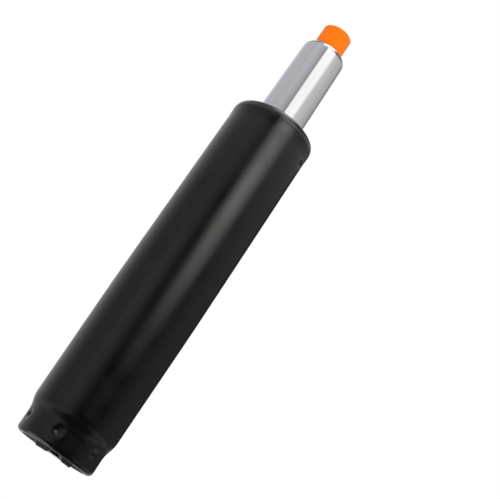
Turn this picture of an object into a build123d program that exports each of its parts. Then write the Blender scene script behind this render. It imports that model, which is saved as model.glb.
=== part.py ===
from build123d import *
import math
import os

# Chair gas lift cylinder, in millimetres, upright and at its lowest height.
# +Z runs up the axis, and the origin is the centre of the column's lower rim.

# Column: a coated steel tube with a seat taper, a necked end and a rolled rim
column_radius = 25.0
column_wall = 2.0
taper_share = 0.01254  # radius lost per length on both seat tapers: 1 degree 26 minutes 16 seconds
base_taper_length = 68.5
neck_height = 10.0
neck_shoulder_height = 11.5
neck_step = 2.0
rim_edge_radius = 2.5
rim_lip_width = 3.75
mouth_edge_radius = 0.5
mouth_flare = 0.25
mouth_flare_height = 5.0

# Dents punched round the neck, which hold the base plate
dent_count = 6
dent_first_angle = -100.0
dent_height = 8.8
dent_radius = 3.75
dent_depth = 0.8
punch_radius = 1.5
punch_depth = 0.8

# Dents punched near the mouth, which hold the guide bush
bush_dent_count = 2
bush_dent_first_angle = -23.0
bush_dent_drop = 9.3
bush_dent_radius = 2.2
bush_dent_depth = 0.6

# Guide bush: a ribbed plastic moulding in the column's mouth
bush_depth = 82.0
bush_fit_clearance = 0.04
bush_flange_height = 5.3
bush_flange_overhang = 0.2
bush_flange_edge_share = 0.8
bush_sleeve_wall = 2.6
bush_ring_height = 4.0
bush_holding_ring_height = 8.0
bush_middle_share = 0.46
bush_rib_count = 10
bush_rib_thickness = 2.0
bush_lead_in = 1.0
bush_pocket_clearance = 0.3

# Base plate: the thick plate in the neck that carries the load
plate_clearance = 0.1
plate_thickness = 13.0
plate_groove_depth = 1.0
plate_groove_clearance = 0.4
plate_groove_flat_share = 0.45
plate_edge_chamfer = 0.6
plate_spindle_clearance = 0.08
race_recess_depth = 2.8
race_recess_clearance = 0.3
washer_recess_clearance = 1.0
swivel_play = 0.3

# Thrust bearing
race_radius = 15.0
race_thickness = 2.4
race_edge_radius = 0.4
lower_race_bore_clearance = 1.0
race_groove_depth = 0.9
ball_radius = 2.5
ball_clearance = 0.05
ball_count = 10
ball_ring_radius = 10.5
cage_thickness = 1.4
cage_inner_radius = 7.2
cage_outer_radius = 14.0
cage_pocket_clearance = 0.1

# Piston rod, its washer and its horseshoe clip
rod_radius = 5.0
rod_loose_clearance = 0.3
spindle_radius = 4.0
spindle_chamfer = 0.4
spindle_end_drop = 0.7
spindle_end_land = 0.7
clip_groove_depth = 1.0
clip_thickness = 1.4
clip_radius = 11.3
clip_slack = 0.05
clip_mouth_width = 5.2
clip_turn = 7.0
clip_ear_drop = 1.75
clip_ear_near_angle = 14.5
clip_ear_far_angle = 75.0
clip_washer_radius = 10.0
clip_washer_thickness = 1.2
seat_clearance = 0.05

# Rubber buffer and the washer that it stands on
buffer_washer_radius = 13.0
buffer_washer_thickness = 1.5
buffer_radius = 12.0
buffer_height = 14.0
buffer_waist_depth = 2.2
buffer_waist_share = 0.3
buffer_edge_radius = 1.2
stop_gap = 0.1

# Gas cylinder: a bright steel tube, rolled in at its foot and drawn in at its shoulder
tube_radius = 14.0
tube_wall = 1.5
tube_foot_edge_radius = 1.8
tube_foot_opening_radius = 9.0
seat_taper_stand = 2.0
seat_taper_length = 57.0
tube_shoulder_radius = 4.5
tube_roof_thickness = 2.0
tube_running_clearance = 0.05

# Closing pack in the cylinder's foot
pack_clearance = 0.05
seal_washer_thickness = 2.0
rod_seal_height = 7.0
rod_seal_lip_height = 1.6
rod_seal_groove_depth = 3.2
rod_seal_groove_shares = (0.28, 0.62)
rod_seal_clearance = 0.02
rod_guide_height = 11.0
rod_guide_spigot_height = 5.0
rod_guide_running_clearance = 0.05
guide_o_ring_cord_radius = 1.1

# Inner tube
inner_tube_gap = 1.5
inner_tube_wall = 1.0
transfer_hole_count = 4
transfer_hole_radius = 1.25
transfer_hole_stand = 3.0

# Piston
stroke = 120.0
piston_height = 12.0
piston_clearance = 0.15
piston_stud_radius = 3.5
piston_edge_chamfer = 0.8
piston_ring_height = 3.0
piston_ring_thickness = 1.5
piston_ring_clearance = 0.04
piston_ring_place_share = 0.3
piston_seal_cord_radius = 1.3
piston_seal_clearance = 0.03
piston_seal_place_share = 0.72
piston_nut_height = 5.0
piston_nut_radius = 6.4
piston_stud_stand = 1.2

# Valve
gas_room = 27.2
seal_clearance = 0.04
pin_travel = 3.0
pin_head_radius = 3.3
pin_head_height = 2.6
pin_waist_radius = 1.4
pin_waist_length = 11.6
pin_stem_radius = 2.4
pin_seal_cord_radius = 1.0
pin_head_gap = 0.1
valve_retainer_thickness = 1.6
pin_spacer_length = 10.4
pin_spacer_wall = 1.3
spigot_length = 8.0
spigot_clearance = 0.05
spigot_seal_cord_radius = 0.9
valve_collar_height = 2.0
valve_collar_inset = 0.3
valve_waist_step = 1.3
valve_waist_height = 4.0
valve_body_length = 27.7
valve_body_clearance = 0.12
valve_seal_cord_radius = 1.1
valve_seal_place_shares = (0.3, 0.72)
valve_neck_radius = 6.0
valve_neck_stand = 3.0
valve_neck_clearance = 0.1
port_count = 4
port_radius = 0.9
button_radius = 4.0
button_stand = 6.0
button_seat_room = 1.0
button_bore_depth = 17.7
button_bore_clearance = 0.08
button_edge_radius = 0.8

# Transit cap
cap_radius = 8.95
cap_height = 14.1
cap_wall = 1.55
cap_roof = 2.0
cap_edge_radius = 0.4
cap_grip_height = 2.6
cap_grip_clearance = 0.05
cap_gap = 0.05

# Radii worked out from the driving sizes
base_taper_small_radius = column_radius - taper_share * base_taper_length
neck_radius = base_taper_small_radius - neck_step
neck_bore_radius = neck_radius - column_wall
column_bore_radius = column_radius - column_wall
tube_bore_radius = tube_radius - tube_wall
inner_tube_radius = tube_bore_radius - inner_tube_gap
inner_tube_bore_radius = inner_tube_radius - inner_tube_wall
valve_collar_radius = inner_tube_radius - valve_collar_inset
valve_waist_radius = valve_collar_radius - valve_waist_step
clip_groove_radius = spindle_radius - clip_groove_depth
pin_bore_radius = pin_stem_radius + 2 * (pin_seal_cord_radius + seal_clearance)
race_groove_radius = ball_radius + ball_clearance

# Heights, from the rim upwards
base_taper_low = neck_height + neck_shoulder_height
base_taper_high = base_taper_low + base_taper_length
spindle_end = -spindle_end_drop
clip_groove_low = spindle_end + spindle_end_land
clip_low = clip_groove_low + clip_slack
clip_high = clip_low + clip_thickness
clip_washer_high = clip_high + clip_washer_thickness
plate_low = column_wall
plate_high = plate_low + plate_thickness
race_seat = plate_high - race_recess_depth
lower_race_high = race_seat + race_thickness
ball_height = lower_race_high - race_groove_depth + race_groove_radius
upper_race_low = 2 * ball_height - lower_race_high
upper_race_high = upper_race_low + race_thickness
buffer_low = upper_race_high + buffer_washer_thickness
buffer_high = buffer_low + buffer_height
tube_foot = buffer_high + stop_gap
seal_washer_low = tube_foot + tube_wall
rod_seal_low = seal_washer_low + seal_washer_thickness
rod_guide_low = rod_seal_low + rod_seal_height
inner_tube_low = rod_guide_low + rod_guide_height
rod_guide_high = inner_tube_low + rod_guide_spigot_height
piston_low = rod_guide_high + stroke + stop_gap
piston_high = piston_low + piston_height
piston_nut_high = piston_high + piston_nut_height
rod_high = piston_nut_high + piston_stud_stand
pin_head_low = rod_high + gas_room
pin_head_high = pin_head_low + pin_head_height
spigot_low = pin_head_high + pin_head_gap - valve_retainer_thickness
lower_pin_seal = spigot_low + valve_retainer_thickness + pin_seal_cord_radius
pin_spacer_low = lower_pin_seal + pin_seal_cord_radius + seal_clearance
pin_spacer_high = pin_spacer_low + pin_spacer_length
upper_pin_seal = pin_spacer_high + pin_seal_cord_radius + seal_clearance
pin_bore_high = upper_pin_seal + pin_seal_cord_radius + seal_clearance
inner_tube_high = spigot_low + spigot_length
valve_collar_high = inner_tube_high + valve_collar_height
port_height = valve_collar_high + valve_waist_height / 2
valve_body_low = valve_collar_high + valve_waist_height
valve_body_high = valve_body_low + valve_body_length
tube_high = valve_body_high + tube_roof_thickness
valve_neck_high = tube_high + valve_neck_stand
button_high = valve_neck_high + button_stand
button_bore_low = valve_neck_high - button_bore_depth
button_low = button_bore_low + pin_travel + button_seat_room
seat_taper_low = tube_high - tube_shoulder_radius - seat_taper_length
column_high = seat_taper_low - seat_taper_stand
bush_low = column_high - bush_depth
cap_low = tube_high + cap_gap
cap_high = cap_low + cap_height

overrun = 1.0


def turned(*corners):
    """A solid turned about Z from a closed half section, whose corners are (radius, height)
    or (radius, height, edge radius)."""
    outline = Polyline(*[(corner[0], 0, corner[1]) for corner in corners], close=True)
    return revolve(rounded(Face(Wire(outline.edges())), *corners), Axis.Z)


def rounded(section, *corners):
    """The half section with an edge radius at each corner that names one."""
    for radius, height, edge in [corner for corner in corners if len(corner) > 2]:
        nearest = section.vertices().sort_by_distance((radius, 0, height))[0]
        section = section.fillet_2d(edge, [nearest])
    return section


def washer(inner, outer, low, high, edge=0):
    """A flat ring, with its outer edges rounded where an edge radius is given."""
    if edge:
        return turned((inner, low), (outer, low, edge), (outer, high, edge), (inner, high))
    return turned((inner, low), (outer, low), (outer, high), (inner, high))


def o_ring(bore, cord_radius, height):
    """An O-ring whose inside has the radius bore."""
    return Pos(0, 0, height) * Torus(bore + cord_radius, cord_radius)


def cross_holes(count, radius, length, height):
    """Round holes drilled inwards from all round."""
    hole = Rot(0, 90, 0) * Cylinder(radius, length, align=(Align.CENTER, Align.CENTER, Align.MIN))
    return [Pos(0, 0, height) * Rot(0, 0, turn * 360 / count) * hole for turn in range(count)]


def column_side(inset):
    """The column's side from the neck up to the mouth, drawn the inset inside its outer face:
    two arcs that meet halfway up the shoulder, the seat taper, the straight barrel and the mouth
    that the bush has opened a little."""
    neck = neck_radius - inset
    shoulder = base_taper_small_radius - inset
    middle = ((neck + shoulder) / 2, 0, neck_height + neck_shoulder_height / 2)
    lower = TangentArc((neck, 0, neck_height), middle, tangent=(0, 0, 1))
    upper = TangentArc(middle, (shoulder, 0, base_taper_low), tangent=lower % 1)
    barrel = column_radius - inset
    taper = Line((shoulder, 0, base_taper_low), (barrel, 0, base_taper_high))
    flare_low = column_high - mouth_flare_height
    straight = Line((barrel, 0, base_taper_high), (barrel, 0, flare_low))
    flare = Line((barrel, 0, flare_low), (barrel + mouth_flare, 0, column_high))
    return [lower, upper, taper, straight, flare]


def dent_sphere_radius(radius, depth):
    """The radius of the sphere that a dent of this radius and depth is cut from."""
    return (radius**2 + depth**2) / (2 * depth)


def dent_spheres(surface, wall, height, radius, depth, angles):
    """The bulges and the hollows of dents pressed into a wall: two spheres about one centre
    outside it, one wall apart, so that the wall keeps its thickness."""
    hollow = dent_sphere_radius(radius, depth)
    bulges = []
    hollows = []
    for angle in angles:
        place = Rot(0, 0, angle) * Pos(surface - depth + hollow, 0, height)
        inner_half = Cylinder(surface - wall / 2, 4 * radius)
        bulges.append((place * Sphere(hollow + wall)) & (Pos(0, 0, height) * inner_half))
        hollows.append(place * Sphere(hollow))
    return bulges, hollows


def dent_angles(count, first):
    """The directions of evenly spaced dents, in degrees from +X."""
    return [first + turn * 360 / count for turn in range(count)]


def column_tube():
    """The coated steel column, with its taper, neck, rolled rim and punched dents."""
    lip = neck_radius - rim_lip_width
    inner = Polyline((lip, 0, 0), (lip, 0, column_wall), (neck_bore_radius, 0, column_wall),
                     (neck_bore_radius, 0, neck_height))
    outer = Polyline((lip, 0, 0), (neck_radius, 0, 0), (neck_radius, 0, neck_height))
    mouth_radius = column_radius + mouth_flare
    mouth = Line((mouth_radius - column_wall, 0, column_high), (mouth_radius, 0, column_high))
    sides = column_side(0) + column_side(column_wall) + [mouth]
    outline = Wire([edge for part in [inner, outer] + sides for edge in part.edges()])
    section = rounded(Face(outline), (neck_radius, 0, rim_edge_radius),
                      (neck_bore_radius, column_wall, rim_edge_radius - column_wall),
                      (mouth_radius, column_high, mouth_edge_radius))
    tube = revolve(section, Axis.Z)
    angles = dent_angles(dent_count, dent_first_angle)
    bulges, hollows = dent_spheres(neck_radius, column_wall, dent_height, dent_radius, dent_depth,
                                   angles)
    bush_bulges, bush_hollows = dent_spheres(
        column_radius, column_wall, column_high - bush_dent_drop, bush_dent_radius, bush_dent_depth,
        dent_angles(bush_dent_count, bush_dent_first_angle))
    # each punch mark is a cone that starts outside the dent's floor and narrows inwards
    cone = Rot(0, -90, 0) * Cone(2 * punch_radius, 0, 2 * punch_depth,
                                 align=(Align.CENTER, Align.CENTER, Align.MIN))
    floor = neck_radius - dent_depth + punch_depth
    punches = [Rot(0, 0, angle) * Pos(floor, 0, dent_height) * cone for angle in angles]
    return tube + bulges + bush_bulges - hollows - bush_hollows - punches


def guide_bush():
    """The plastic bush that guides the gas cylinder: a sleeve in ribs and rings, with a domed
    flange on the column's mouth and pockets for the column's dents."""
    radius = column_bore_radius - bush_fit_clearance
    bore = tube_radius + tube_running_clearance
    sleeve = bore + bush_sleeve_wall
    flange = column_radius + bush_flange_overhang
    flange_high = column_high + bush_flange_height
    flange_edge = bush_flange_height * bush_flange_edge_share
    middle = bush_low + bush_depth * bush_middle_share
    holding = column_high - bush_dent_drop
    body = turned((bore, bush_low), (sleeve, bush_low), (sleeve, column_high), (flange, column_high),
                  (flange, flange_high, flange_edge), (bore, flange_high))
    rings = [washer(bore, radius, bush_low, bush_low + bush_ring_height),
             washer(bore, radius, middle, middle + bush_ring_height),
             washer(bore, radius, holding - bush_holding_ring_height / 2,
                    holding + bush_holding_ring_height / 2)]
    rib_length = radius - bore
    rib = Pos(bore, 0, bush_low) * Box(rib_length, bush_rib_thickness, bush_depth,
                                       align=(Align.MIN, Align.CENTER, Align.MIN))
    ribs = [Rot(0, 0, (turn + 1 / 2) * 360 / bush_rib_count) * rib for turn in range(bush_rib_count)]
    reach = Pos(0, 0, bush_low) * Cylinder(radius, bush_depth,
                                           align=(Align.CENTER, Align.CENTER, Align.MIN))
    ribs = [part & reach for part in ribs]
    # the pockets are as wide and deep as the bulges of the dents, with room round them
    hollow = dent_sphere_radius(bush_dent_radius, bush_dent_depth)
    centre = column_radius - bush_dent_depth + hollow
    pocket = Pos(centre, 0, holding) * Sphere(hollow + column_wall + bush_pocket_clearance)
    angles = dent_angles(bush_dent_count, bush_dent_first_angle)
    pockets = [Rot(0, 0, angle) * pocket for angle in angles]
    bore_cut = turned((0, bush_low - overrun), (bore + bush_lead_in + overrun, bush_low - overrun),
                      (bore, bush_low + bush_lead_in), (bore, flange_high - bush_lead_in),
                      (bore + bush_lead_in + overrun, flange_high + overrun), (0, flange_high + overrun))
    return body + rings + ribs - pockets - bore_cut


def base_plate():
    """The plate in the column's neck: a groove for the dents, a recess for the lower race, a
    bore for the rod's spindle and a recess below for the clip's washer."""
    radius = neck_bore_radius - plate_clearance
    recess = race_radius + race_recess_clearance
    bore = spindle_radius + plate_spindle_clearance
    washer_recess = clip_washer_radius + washer_recess_clearance
    washer_recess_high = clip_washer_high + swivel_play
    bulge = dent_sphere_radius(dent_radius, dent_depth) + column_wall
    groove = math.sqrt(bulge**2 - (bulge - dent_depth) ** 2) + plate_groove_clearance
    plate = turned((bore, washer_recess_high), (washer_recess, washer_recess_high),
                   (washer_recess, plate_low), (radius, plate_low), (radius, plate_high),
                   (recess, plate_high), (recess, race_seat), (bore, race_seat))
    plate = chamfer(plate.edges().filter_by(GeomType.CIRCLE).group_by(SortBy.RADIUS)[-1],
                    plate_edge_chamfer)
    flat = groove * plate_groove_flat_share
    floor = radius - plate_groove_depth
    groove_low = dent_height - groove
    groove_high = dent_height + groove
    groove_cut = turned((floor, dent_height - flat), (radius, groove_low),
                        (radius + overrun, groove_low), (radius + overrun, groove_high),
                        (radius, groove_high), (floor, dent_height + flat))
    return plate - groove_cut


def race_groove():
    """The ring of round section that both races are ground out by."""
    return Pos(0, 0, ball_height) * Torus(ball_ring_radius, race_groove_radius)


def lower_race():
    """The bearing race that lies in the base plate, clear of the spindle."""
    bore = spindle_radius + lower_race_bore_clearance
    return washer(bore, race_radius, race_seat, lower_race_high, race_edge_radius) - race_groove()


def upper_race():
    """The bearing race under the rod's step, seated on the spindle."""
    bore = spindle_radius + seat_clearance
    return washer(bore, race_radius, upper_race_low, upper_race_high, race_edge_radius) - race_groove()


def ball_places():
    """The centres of the bearing balls."""
    return [Rot(0, 0, turn * 360 / ball_count) * Pos(ball_ring_radius, 0, ball_height)
            for turn in range(ball_count)]


def ball_cage():
    """The flat cage that spaces the bearing balls."""
    plate = washer(cage_inner_radius, cage_outer_radius, ball_height - cage_thickness / 2,
                   ball_height + cage_thickness / 2)
    pocket = Cylinder(ball_radius + cage_pocket_clearance, 2 * cage_thickness)
    return plate - [place * pocket for place in ball_places()]


def bearing_balls():
    """The bearing balls, each a separate solid."""
    return Compound(children=[place * Sphere(ball_radius) for place in ball_places()])


def piston_rod():
    """The ground rod: a grooved spindle below, the long shank, and the piston's stud above."""
    groove_high = clip_high + clip_slack
    return turned(
        (0, spindle_end), (spindle_radius - spindle_chamfer, spindle_end),
        (spindle_radius, spindle_end + spindle_chamfer), (spindle_radius, clip_groove_low),
        (clip_groove_radius, clip_groove_low), (clip_groove_radius, groove_high),
        (spindle_radius, groove_high), (spindle_radius, upper_race_high), (rod_radius, upper_race_high),
        (rod_radius, piston_low), (piston_stud_radius, piston_low),
        (piston_stud_radius, rod_high - spindle_chamfer),
        (piston_stud_radius - spindle_chamfer, rod_high), (0, rod_high))


def retaining_clip():
    """The horseshoe clip in the spindle's groove, with the outer edge of its arms turned down."""
    grip = clip_groove_radius + clip_slack
    disc = washer(grip, clip_radius, clip_low, clip_high)
    mouth = Pos(0, 0, clip_low) * Box(clip_mouth_width, clip_radius + overrun, 2 * clip_thickness,
                                      align=(Align.CENTER, Align.MAX, Align.CENTER))
    ear_span = clip_ear_far_angle - clip_ear_near_angle
    ear_inner = clip_radius - clip_thickness
    ear_low = clip_low - clip_ear_drop
    ear_outline = Polyline((ear_inner, 0, ear_low), (clip_radius, 0, ear_low), (clip_radius, 0, clip_high),
                           (ear_inner, 0, clip_high), close=True)
    ear = revolve(Face(Wire(ear_outline.edges())), Axis.Z, ear_span)
    right = Rot(0, 0, clip_ear_near_angle - 90) * ear
    left = Rot(0, 0, -90 - clip_ear_far_angle) * ear
    return Rot(0, 0, clip_turn) * (disc - mouth + right + left)


def clip_washer():
    """The washer between the clip and the base plate."""
    return washer(spindle_radius + seat_clearance, clip_washer_radius, clip_high, clip_washer_high)


def buffer_washer():
    """The washer that carries the rubber buffer on the upper race."""
    return washer(rod_radius + seat_clearance, buffer_washer_radius, upper_race_high, buffer_low)


def rubber_buffer():
    """The waisted rubber ring that the gas cylinder lands on."""
    bore = rod_radius + rod_loose_clearance
    middle = (buffer_low + buffer_high) / 2
    half = buffer_height * buffer_waist_share
    waist = buffer_radius - buffer_waist_depth
    return turned((bore, buffer_low), (buffer_radius, buffer_low, buffer_edge_radius),
                  (buffer_radius, middle - half, buffer_edge_radius),
                  (waist, middle, buffer_edge_radius),
                  (buffer_radius, middle + half, buffer_edge_radius),
                  (buffer_radius, buffer_high, buffer_edge_radius), (bore, buffer_high))


def tube_bore_at(height):
    """The radius of the gas cylinder's bore at a height, in or below its taper."""
    return tube_bore_radius - taper_share * max(0, height - seat_taper_low)


def pressure_tube():
    """The gas cylinder's outer tube: foot rolled in under the closing pack, straight barrel,
    seat taper and drawn shoulder with the hole for the valve's neck."""
    shoulder = tube_radius - taper_share * (tube_high - seat_taper_low)
    hole = valve_neck_radius + valve_neck_clearance
    roof = valve_body_high
    return turned(
        (tube_foot_opening_radius, tube_foot), (tube_radius, tube_foot, tube_foot_edge_radius),
        (tube_radius, seat_taper_low), (shoulder, tube_high, tube_shoulder_radius), (hole, tube_high),
        (hole, roof), (tube_bore_at(roof), roof, tube_shoulder_radius - tube_roof_thickness),
        (tube_bore_radius, seat_taper_low), (tube_bore_radius, seal_washer_low),
        (tube_foot_opening_radius, seal_washer_low))


def seal_washer():
    """The washer that closes the cylinder's foot under the rod seal."""
    return washer(rod_radius + rod_loose_clearance, tube_bore_radius - pack_clearance,
                  seal_washer_low, rod_seal_low)


def rod_seal():
    """The lip seal on the rod, with its groove facing the gas."""
    outer = tube_bore_radius - pack_clearance
    lip = rod_radius + rod_seal_clearance
    relief = rod_radius + rod_loose_clearance
    high = rod_guide_low
    width = outer - lip
    groove_in = lip + width * rod_seal_groove_shares[0]
    groove_out = lip + width * rod_seal_groove_shares[1]
    return turned(
        (relief, rod_seal_low), (outer, rod_seal_low), (outer, high), (groove_out, high),
        (groove_out, high - rod_seal_groove_depth), (groove_in, high - rod_seal_groove_depth),
        (groove_in, high), (lip, high), (lip, high - rod_seal_lip_height),
        (relief, high - 2 * rod_seal_lip_height))


def rod_guide():
    """The sintered guide for the rod, with an O-ring groove outside and a spigot that centres
    the inner tube."""
    outer = tube_bore_radius - pack_clearance
    bore = rod_radius + rod_guide_running_clearance
    spigot = inner_tube_bore_radius - spigot_clearance
    body = turned((bore, rod_guide_low), (outer, rod_guide_low), (outer, inner_tube_low),
                  (spigot, inner_tube_low), (spigot, rod_guide_high), (bore, rod_guide_high))
    return body - o_ring_groove(tube_bore_radius, guide_o_ring_cord_radius, guide_o_ring_height())


def guide_o_ring_height():
    """Halfway up the rod guide's body."""
    return (rod_guide_low + inner_tube_low) / 2


def o_ring_groove(wall, cord_radius, height):
    """The groove for an O-ring that seals against a wall outside it."""
    half = cord_radius + seal_clearance
    return washer(wall - 2 * half, wall + overrun, height - half, height + half)


def wall_o_ring(wall, cord_radius, height):
    """An O-ring that just clears the wall outside it."""
    return o_ring(wall - 2 * cord_radius - seal_clearance, cord_radius, height)


def guide_o_ring():
    """The O-ring round the rod guide."""
    return wall_o_ring(tube_bore_radius, guide_o_ring_cord_radius, guide_o_ring_height())


def inner_tube():
    """The tube that the piston runs in, with transfer holes at its foot."""
    tube = washer(inner_tube_bore_radius, inner_tube_radius, inner_tube_low, inner_tube_high)
    height = rod_guide_high + transfer_hole_stand
    reach = inner_tube_radius + overrun
    return tube - cross_holes(transfer_hole_count, transfer_hole_radius, reach, height)


def piston_ring_low():
    """The lower side of the piston's guide ring."""
    return piston_low + piston_height * piston_ring_place_share - piston_ring_height / 2


def piston_seal_height():
    """The height of the piston's O-ring."""
    return piston_low + piston_height * piston_seal_place_share


def piston():
    """The piston on the rod's stud, grooved for its guide ring and its O-ring."""
    radius = inner_tube_bore_radius - piston_clearance
    bore = piston_stud_radius + seat_clearance
    body = turned((bore, piston_low), (radius - piston_edge_chamfer, piston_low),
                  (radius, piston_low + piston_edge_chamfer),
                  (radius, piston_high - piston_edge_chamfer),
                  (radius - piston_edge_chamfer, piston_high), (bore, piston_high))
    ring_floor = inner_tube_bore_radius - piston_ring_thickness - piston_ring_clearance - seal_clearance
    ring_groove = washer(ring_floor, inner_tube_bore_radius, piston_ring_low() - seal_clearance,
                         piston_ring_low() + piston_ring_height + seal_clearance)
    seal_groove = o_ring_groove(inner_tube_bore_radius - piston_seal_clearance, piston_seal_cord_radius,
                                piston_seal_height())
    return body - ring_groove - seal_groove


def piston_guide_ring():
    """The flat slide ring that keeps the piston off the inner tube."""
    outer = inner_tube_bore_radius - piston_ring_clearance
    return washer(outer - piston_ring_thickness, outer, piston_ring_low(),
                  piston_ring_low() + piston_ring_height)


def piston_seal():
    """The piston's O-ring."""
    return wall_o_ring(inner_tube_bore_radius - piston_seal_clearance, piston_seal_cord_radius,
                       piston_seal_height())


def piston_nut():
    """The hexagon nut that clamps the piston on its stud."""
    hexagon = Pos(0, 0, piston_high) * extrude(RegularPolygon(piston_nut_radius, 6), piston_nut_height)
    bore = Pos(0, 0, piston_high) * Cylinder(piston_stud_radius + seat_clearance, 4 * piston_nut_height)
    return hexagon - bore


def valve_body():
    """The turned valve body: spigot in the inner tube, collar on its end, waist with the cross
    ports, body with two O-ring grooves, and a neck through the cylinder's shoulder."""
    spigot = inner_tube_bore_radius - spigot_clearance
    radius = tube_bore_at(valve_body_high) - valve_body_clearance
    edge = tube_shoulder_radius - tube_roof_thickness
    outside = turned(
        (0, spigot_low), (spigot, spigot_low), (spigot, inner_tube_high),
        (valve_collar_radius, inner_tube_high), (valve_collar_radius, valve_collar_high),
        (valve_waist_radius, valve_collar_high),
        (valve_waist_radius, valve_body_low), (radius, valve_body_low), (radius, valve_body_high, edge),
        (valve_neck_radius, valve_body_high), (valve_neck_radius, valve_neck_high), (0, valve_neck_high))
    stem_bore = pin_stem_radius + button_bore_clearance
    button_bore = button_radius + button_bore_clearance
    bores = turned(
        (0, spigot_low - overrun), (pin_bore_radius, spigot_low - overrun),
        (pin_bore_radius, pin_bore_high), (stem_bore, pin_bore_high), (stem_bore, button_bore_low),
        (button_bore, button_bore_low), (button_bore, valve_neck_high + overrun),
        (0, valve_neck_high + overrun))
    grooves = [o_ring_groove(tube_bore_at(height), valve_seal_cord_radius, height)
               for height in valve_seal_heights()]
    grooves.append(o_ring_groove(inner_tube_bore_radius, spigot_seal_cord_radius, spigot_seal_height()))
    ports = cross_holes(port_count, port_radius, valve_waist_radius + overrun, port_height)
    return outside - bores - grooves - ports


def valve_seal_heights():
    """The heights of the O-rings between the valve body and the gas cylinder."""
    return [valve_body_low + share * valve_body_length for share in valve_seal_place_shares]


def spigot_seal_height():
    """Halfway up the valve body's spigot."""
    return (spigot_low + inner_tube_high) / 2


def valve_body_o_rings():
    """The O-rings round the valve body: one in the inner tube and two in the gas cylinder."""
    rings = [wall_o_ring(inner_tube_bore_radius, spigot_seal_cord_radius, spigot_seal_height())]
    rings += [wall_o_ring(tube_bore_at(height), valve_seal_cord_radius, height)
              for height in valve_seal_heights()]
    return Compound(children=rings)


def valve_retainer():
    """The ring pressed in the valve body's mouth, round the head of the release pin."""
    outer = pin_bore_radius - seal_clearance
    return washer((pin_head_radius + outer) / 2, outer, spigot_low,
                  spigot_low + valve_retainer_thickness)


def pin_seals():
    """The two O-rings round the release pin, below and above the spacer."""
    bore = pin_stem_radius + seal_clearance
    return Compound(children=[o_ring(bore, pin_seal_cord_radius, height)
                              for height in (lower_pin_seal, upper_pin_seal)])


def pin_spacer():
    """The drilled sleeve that holds the pin's O-rings apart and lets the gas through."""
    outer = pin_bore_radius - seal_clearance
    sleeve = washer(outer - pin_spacer_wall, outer, pin_spacer_low, pin_spacer_high)
    return sleeve - cross_holes(port_count, port_radius, outer + overrun, port_height)


def release_pin():
    """The valve pin: a head that closes the lower O-ring, a waist and a stem."""
    waist_high = pin_head_high + pin_waist_length
    return turned(
        (0, pin_head_low), (pin_head_radius, pin_head_low), (pin_head_radius, pin_head_high),
        (pin_waist_radius, pin_head_high), (pin_waist_radius, waist_high), (pin_stem_radius, waist_high),
        (pin_stem_radius, button_low), (0, button_low))


def release_button():
    """The button that the seat's lever presses, standing on the pin's stem."""
    return turned((0, button_low), (button_radius, button_low),
                  (button_radius, button_high, button_edge_radius), (0, button_high))


def transit_cap():
    """The plastic cap that keeps the button from being pressed before the lift is fitted."""
    grip = valve_neck_radius + cap_grip_clearance
    inner = cap_radius - cap_wall
    grip_high = cap_low + cap_grip_height
    roof_low = cap_high - cap_roof
    return turned((grip, cap_low), (cap_radius, cap_low), (cap_radius, cap_high, cap_edge_radius),
                  (0, cap_high), (0, roof_low), (inner, roof_low), (inner, grip_high),
                  (grip, grip_high))


nodes = [
    column_tube, guide_bush, base_plate, lower_race, ball_cage, bearing_balls, upper_race, piston_rod,
    retaining_clip, clip_washer, buffer_washer, rubber_buffer, piston, piston_guide_ring, piston_seal,
    piston_nut, pressure_tube, inner_tube, seal_washer, rod_seal, rod_guide, guide_o_ring, valve_body,
    valve_body_o_rings, valve_retainer, pin_seals, pin_spacer, release_pin, release_button, transit_cap]

os.makedirs("parts", exist_ok=True)
for node in nodes:
    export_step(node(), "parts/" + node.__name__ + ".step")
print("column_high", column_high, "tube_high", tube_high, "cap_high", cap_high)
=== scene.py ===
import math
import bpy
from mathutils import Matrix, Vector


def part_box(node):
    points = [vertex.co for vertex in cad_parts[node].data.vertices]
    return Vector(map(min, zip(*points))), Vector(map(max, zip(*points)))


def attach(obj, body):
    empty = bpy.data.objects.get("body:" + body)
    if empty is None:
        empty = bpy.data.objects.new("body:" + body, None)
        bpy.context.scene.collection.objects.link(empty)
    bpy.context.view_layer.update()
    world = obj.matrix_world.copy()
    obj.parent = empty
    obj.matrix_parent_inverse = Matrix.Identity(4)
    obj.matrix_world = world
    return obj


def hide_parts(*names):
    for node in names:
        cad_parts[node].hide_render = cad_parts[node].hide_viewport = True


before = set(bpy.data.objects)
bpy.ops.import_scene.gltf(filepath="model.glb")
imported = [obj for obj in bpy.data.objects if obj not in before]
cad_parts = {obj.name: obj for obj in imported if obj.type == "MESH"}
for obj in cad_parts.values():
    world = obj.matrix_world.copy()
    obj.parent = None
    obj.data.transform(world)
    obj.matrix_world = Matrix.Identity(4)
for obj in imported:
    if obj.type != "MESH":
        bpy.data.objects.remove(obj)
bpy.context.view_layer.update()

from types import SimpleNamespace

import bpy
import numpy as np
from bpy.props import FloatProperty, FloatVectorProperty, IntProperty, PointerProperty
from mathutils import Matrix, Vector

bl_info = {
    "name": "Chair gas lift cylinder",
    "version": (1, 0, 0),
    "blender": (4, 5, 0),
    "location": "3D View > Sidebar > Gas lift",
    "description": "Gives a chair's gas lift its surfaces and finishes and sets it in a plain studio",
    "category": "Add Mesh",
}

MM = 0.001


# Sizes taken from the frame

def radius_of(node):
    """Half of a turned node's width, in metres."""
    low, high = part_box(node)
    return float(high[0] - low[0]) / 2


def foot_of(node):
    """The height of a node's lowest point."""
    return float(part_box(node)[0][2])


def top_of(node):
    """The height of a node's highest point."""
    return float(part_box(node)[1][2])


# Colours

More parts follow.
